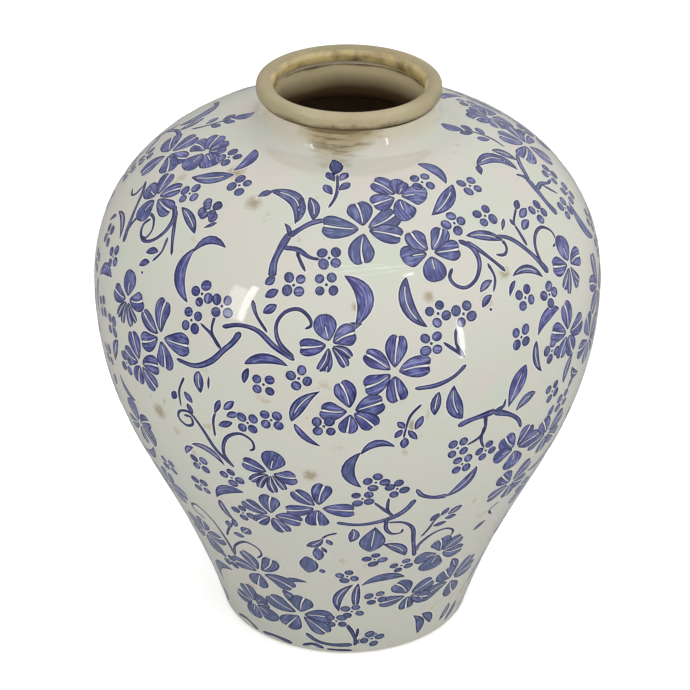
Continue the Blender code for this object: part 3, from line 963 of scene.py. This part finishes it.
BELLY_STROKES = [
    (2.4, 3.4, [(-39, 208.4), (-34, 208.6), (-30, 213.6), (-27.2, 220.6), (-25, 226), (-23.6, 231.6)]),
    (1.9, 1.4, [(-27.6, 221), (-30.4, 227), (-33.6, 230.6)]),
    (1.8, 1.3, [(-28, 221.4), (-30.4, 228.4), (-30.2, 237.4)]),
    (2.4, 2.1, [(14.4, 207.4), (19, 207.6), (23, 210.4), (26, 215.4)]),
    (1.9, 1.4, [(25.8, 219.4), (23.4, 224), (21, 228.6)]),
    (1.8, 1.4, [(25.6, 220), (24, 226.5), (24.2, 234)]),
    (2.1, 2.7, [(-28, 232), (-24, 234.8), (-19.6, 233.8), (-15.4, 227.4), (-11, 222.4)]),
    (2.4, 1.4, [(-11.2, 223), (-14.6, 230), (-15.6, 238), (-14, 244.4), (-11, 246.6), (-8.6, 243.6),
                (-7.8, 239.6), (-9.2, 237.6)]),
    (2.1, 1.1, [(-22, 247.6), (-20.4, 241), (-17.4, 233.8)]),
    (1.9, 3.2, [(42.6, 271), (46.6, 266.6), (50.4, 256), (53.4, 243.6)]),
    (2.1, 1.3, [(52.2, 248), (52.8, 257), (55.4, 262.6), (59, 263.6), (61.6, 259), (61.2, 253.6),
                (58.8, 252.4)]),
    (1.9, 1.3, [(43.6, 268.6), (44, 264), (42.4, 261), (39.8, 262.4)]),
    (2.9, 3.5, [(24.6, 182), (28, 184), (34, 185)]),
    (3.2, 1.4, [(33.6, 184.6), (36, 186), (36.4, 190)]),
    (3.4, 1.8, [(33.6, 184.6), (38, 179.6), (41, 174), (42.6, 167.6)]),
    (2.4, 1.4, [(31.4, 184), (31.6, 176), (30.4, 171.4), (27.4, 168.6)]),
    (2.1, 1.3, [(31.4, 178), (31, 170), (32.4, 162.6)]),
    (2.1, 3.2, [(16.6, 144.6), (18.4, 139), (21.6, 135.6), (25.4, 134.6)]),
    (1.5, 1.1, [(16, 198.6), (13.6, 192.6), (12.6, 184), (12.4, 180)]),
    (1.5, 1.1, [(-29.8, 171), (-29.8, 181), (-28.4, 190)]),
    (2.2, 1.3, [(-26, 153.6), (-30, 162), (-33, 173), (-36, 180.4), (-39, 179), (-39.6, 174.4),
                (-37.6, 171.6), (-35.6, 174), (-36, 178), (-38, 177.4)]),
    (2.2, 1.4, [(-26.4, 154), (-28.2, 162), (-27, 172), (-23.6, 177), (-20.8, 174.4), (-20.4, 169.4),
                (-21.6, 167.6)]),
    (1.5, 1.1, [(-37, 200), (-38.6, 191), (-38.4, 182)]),
    (2.6, 3.5, [(-2.2, 120.8), (3, 119), (8, 120.6), (12.4, 124.4), (15, 129.4), (16.8, 136.6)]),
    (2.1, 1.6, [(12, 125), (9.4, 131), (6.8, 137.4)]),
    (1.9, 1.4, [(11.4, 125.4), (10.2, 132), (10.2, 140.4)]),
    (2.7, 1.4, [(10.4, 124), (10.6, 114.4), (12.4, 108.8), (15, 108.8), (15.2, 112.4)]),
    (1.9, 2.6, [(11, 119.6), (15, 118), (18, 111.4), (19.4, 99), (21.4, 83.4)]),
    (2.1, 1.3, [(21.4, 87), (21.8, 94.4), (25, 102), (29, 103.4), (32, 98.6), (31.2, 92.6), (29, 91.4)]),
    (1.7, 1.1, [(21.4, 101), (23, 108), (24, 114.6), (26.4, 121)]),
    (1.7, 1.1, [(-2, 111.6), (-5.4, 107.6), (-7.6, 99), (-8.4, 90)]),
    (2.1, 1.3, [(-39, 68), (-39.6, 82), (-41.6, 97), (-45.6, 104.4), (-49, 101), (-48.4, 95.6),
                (-45, 94)]),
    (1.9, 1.3, [(-38.6, 70), (-36.6, 79), (-31.4, 87.4), (-27.4, 85.4), (-26.6, 79.6), (-29, 74.4)]),
    (1.7, 1.1, [(-38, 87), (-35.6, 95), (-32.4, 104)]),
    (1.8, 1.3, [(46.6, 109), (43.8, 104.6), (46.4, 98.4)]),
    (2.4, 2.1, [(0.6, 26), (3, 19.6), (4.8, 12), (4.8, 7)]),
    (1.8, 1.3, [(5.6, 22), (5.4, 14)]),
    (3.5, 4.3, [(5.6, 9.4), (9, 12), (14, 16)]),
    (2.4, 2.9, [(-16.6, 15), (-12, 9.6), (-5, 7.6), (3.6, 8)]),
    (1.9, 2.7, [(-57, 5), (-50, 7.4), (-43, 3.4)]),
    (2.1, 2.9, [(-40, 3.6), (-33, 5), (-24, 3.6)]),
    (2.2, 2.6, [(-19, 4), (-14, 6.6), (-9, 4)]),
    (1.7, 1.7, [(-8, 3.6), (4, 3.2)]),
]


# The bands are repeated round the vase: band, (azimuth, up) shift, the last azimuth of the band
# that is copied, and whether marks that would crowd those of an earlier copy are left out.
COPIES = (
    ("shoulder", (-88, 2), 50, False),
    ("shoulder", (0, 0), 90, False),
    ("shoulder", (87, 3), 90, False),
    ("belly", (0, 0), 90, False),
    ("belly", (120, -3), 90, True),
    ("belly", (240, 2), 90, True),
    ("shoulder", (177, 1), 90, True),
)
MARKS = {
    "shoulder": (SHOULDER_BLOOMS, SHOULDER_BERRIES, SHOULDER_LEAVES, SHOULDER_STROKES),
    "belly": (BELLY_BLOOMS, BELLY_BERRIES, BELLY_LEAVES, BELLY_STROKES),
}
# Half sizes of marks (mm), and how near two copies' marks may come as a share of both.
BLOOM_REACH = 16
BERRIES_REACH = 7
LEAF_REACH = 6
STROKE_REACH = 4
CROWDING = 0.72


class Copy:
    """One copy of a band's marks, which may be told to keep clear of the copies before it."""

    def __init__(self, paints, rng, shift, last, wary, taken):
        self.paints, self.rng, self.taken = paints, rng, taken
        self.shift, self.last, self.wary = shift, last, wary
        self.mine = []

    def moved(self, place):
        return (place[0] + self.shift[0], place[1] + self.shift[1])

    def tone(self, place):
        """Marks near the foot are greyer than those on the shoulder."""
        low = min(1.0, max(0.0, (LOW_TONE_TOP - place[1]) / LOW_TONE_TOP))
        return LOW_TONE * low + self.rng.uniform(-0.05, 0.3)

    def clear(self, places, reach):
        """Whether the middle of some places is free, which is noted down when it is."""
        azimuth, up = np.mean([self.moved(p) for p in places], axis=0)
        if azimuth - self.shift[0] > self.last:
            return False
        if self.wary:
            for other, height, size in self.taken:
                gap = math.radians((azimuth - other + 180) % 360 - 180)
                across = gap * WALL_LINE.radius(up * MM) / MM
                if math.hypot(across, up - height) < CROWDING * (reach + size):
                    return False
        self.mine.append((azimuth, up, reach))
        return True

    def paint(self, blooms, fruit, leaves, strokes):
        paints, rng = self.paints, self.rng
        for place, petals, turn in blooms:
            if self.clear([place], BLOOM_REACH):
                bloom(paints["blooms"], self.moved(place), petals, turn, rng, self.tone(place))
        for place, turn in fruit:
            if self.clear([place], BERRIES_REACH):
                berries(paints["berries"], self.moved(place), turn, rng, self.tone(place))
        for tip_1, tip_2, *shape in leaves:
            if self.clear([tip_1, tip_2], LEAF_REACH):
                tone = self.tone(tip_1)
                leaf(paints["leaves"], tone, self.moved(tip_1), self.moved(tip_2), *shape)
        for width, end_width, places in strokes:
            if self.clear(places, STROKE_REACH):
                line = [self.moved(p) for p in places]
                stroke(paints["stems"], line, width, end_width, rng, self.tone(places[0]))
        self.taken += self.mine


def paint_pattern(material):
    rng = random.Random(SEED)
    paints = {
        band: {family: Paint(family, f"painted_{band}_{family}") for family in LAYER}
        for band in MARKS
    }
    taken = []
    for band, shift, last, wary in COPIES:
        Copy(paints[band], rng, shift, last, wary, taken).paint(*MARKS[band])
    for families in paints.values():
        for paint in families.values():
            paint.finish(material)


# ---------------- stage, light and camera


STAGE_REACH = 6
BACKDROP_HEIGHT = 4
BACKDROP_SIDES = 48
FLOOR_WHITE = 0.88
FLOOR_GLOW = 0.42
BOUNCE_WHITE = 0.9
# The studio's soft light: dimmest low on the left, brightest high on the right.
SKY_TOWARDS = (0.42, -0.2, 0.885)
SKY_FROM = -0.3
SKY_LOW = 0.36
SKY_HIGH = 1.36


def plain(name, colour, glow):
    s = Shader(name)
    s.set(Base_Color=(colour,) * 3, Roughness=0.9, Specular_IOR_Level=0.0)
    s.set(Emission_Color=(1, 1, 1), Emission_Strength=glow)
    return s.material


def square(name, height):
    far = STAGE_REACH
    corners = [(-far, -far), (far, -far), (far, far), (-far, far)]
    return mesh_object(name, [(x, y, height) for x, y in corners], [(0, 1, 2, 3)])


def make_stage():
    """A white floor and backdrop to look at, and a hidden floor that bounces light at the vase."""
    floor = square("studio_floor", 0)
    floor.data.materials.append(plain("studio_floor", FLOOR_WHITE, FLOOR_GLOW))
    bounce = square("studio_bounce", -MM)
    bounce.data.materials.append(plain("studio_bounce", BOUNCE_WHITE, 0))
    bounce.visible_camera = False
    turns = np.linspace(0, math.tau, BACKDROP_SIDES, endpoint=False)
    ring = [(STAGE_REACH * math.sin(a), -STAGE_REACH * math.cos(a)) for a in turns]
    points = [(x, y, z) for z in (-MM, BACKDROP_HEIGHT) for x, y in ring]
    faces = []
    for k in range(BACKDROP_SIDES):
        after = (k + 1) % BACKDROP_SIDES
        faces.append((k, after, BACKDROP_SIDES + after, BACKDROP_SIDES + k))
    backdrop = mesh_object("studio_backdrop", points, faces)
    backdrop.data.materials.append(plain("studio_backdrop", 0, 1))
    for piece in (floor, backdrop):
        piece.visible_diffuse = False
        piece.visible_shadow = False
    for piece in (floor, bounce, backdrop):
        piece.visible_glossy = False


def make_world():
    world = bpy.data.worlds.new("studio")
    bpy.context.scene.world = world
    world.use_nodes = True
    nodes, links = world.node_tree.nodes, world.node_tree.links
    place = nodes.new("ShaderNodeTexCoord")
    facing = nodes.new("ShaderNodeVectorMath")
    facing.operation = "DOT_PRODUCT"
    facing.inputs[1].default_value = SKY_TOWARDS
    links.new(place.outputs["Generated"], facing.inputs[0])
    ramp = nodes.new("ShaderNodeMapRange")
    ramp.inputs["From Min"].default_value = SKY_FROM
    ramp.inputs["To Min"].default_value = SKY_LOW
    ramp.inputs["To Max"].default_value = SKY_HIGH
    links.new(facing.outputs["Value"], ramp.inputs["Value"])
    links.new(ramp.outputs["Result"], nodes["Background"].inputs["Strength"])
    nodes["Background"].inputs["Color"].default_value = (1, 1, 1, 1)


# Rectangular area lights that face the aim: azimuth, elevation, distance, (width, height), power.
LIGHT_AIM = Vector((0, 0, 0.24))
LIGHTS = {
    "window": (-45.5, 22, 1.1, (0.06, 0.46), 0.9),
    "window_side": (-51, 20, 1.1, (0.14, 0.4), 0.8),
    "strip": (47, -1, 1.0, (0.035, 0.4), 0.55),
    "strip_top": (36, 48, 1.2, (0.09, 0.03), 0.08),
    "overhead": (14, 56.5, 1.3, (0.7, 0.006), 0.14),
    "overhead_low": (19, 53, 1.3, (0.4, 0.005), 0.07),
    "overhead_edge": (6, 59.5, 1.3, (0.5, 0.005), 0.09),
}


def softbox(name, azimuth, elevation, distance, size, power):
    data = bpy.data.lights.new(name, "AREA")
    data.shape = "RECTANGLE"
    data.size, data.size_y = size
    data.energy = power
    light = add_object(name, data)
    a, e = math.radians(azimuth), math.radians(elevation)
    way = Vector((math.sin(a) * math.cos(e), -math.cos(a) * math.cos(e), math.sin(e)))
    light.location = LIGHT_AIM + way * distance
    light.rotation_mode = "QUATERNION"
    light.rotation_quaternion = way.to_track_quat("Z", "Y")


def make_lights():
    for name, light in LIGHTS.items():
        softbox(name, *light)


CAMERA_PLACE = (0, -1.2, 0.8127)
CAMERA_PITCH = 28.93
CAMERA_ROLL = 0.514
CAMERA_LENS = 137.3
CAMERA_SHIFT = -0.00264


def make_camera():
    data = bpy.data.cameras.new("camera")
    data.lens = CAMERA_LENS
    data.sensor_width = 36
    data.shift_x = CAMERA_SHIFT
    camera = add_object("camera", data)
    camera.location = CAMERA_PLACE
    camera.rotation_mode = "QUATERNION"
    tilt = Matrix.Rotation(math.radians(90 - CAMERA_PITCH), 4, "X").to_quaternion()
    camera.rotation_quaternion = tilt @ Quaternion((0, 0, 1), math.radians(CAMERA_ROLL))
    bpy.context.scene.camera = camera


def main():
    glaze = ivory_glaze()
    make_wall(glaze, liner_glaze())
    make_lip(lip_stain())
    clay = bisque()
    make_foot(clay)
    make_floor(clay)
    paint_pattern(cobalt_paint())
    make_stage()
    make_world()
    make_lights()
    make_camera()
    bpy.context.scene.view_settings.view_transform = "Standard"


main()
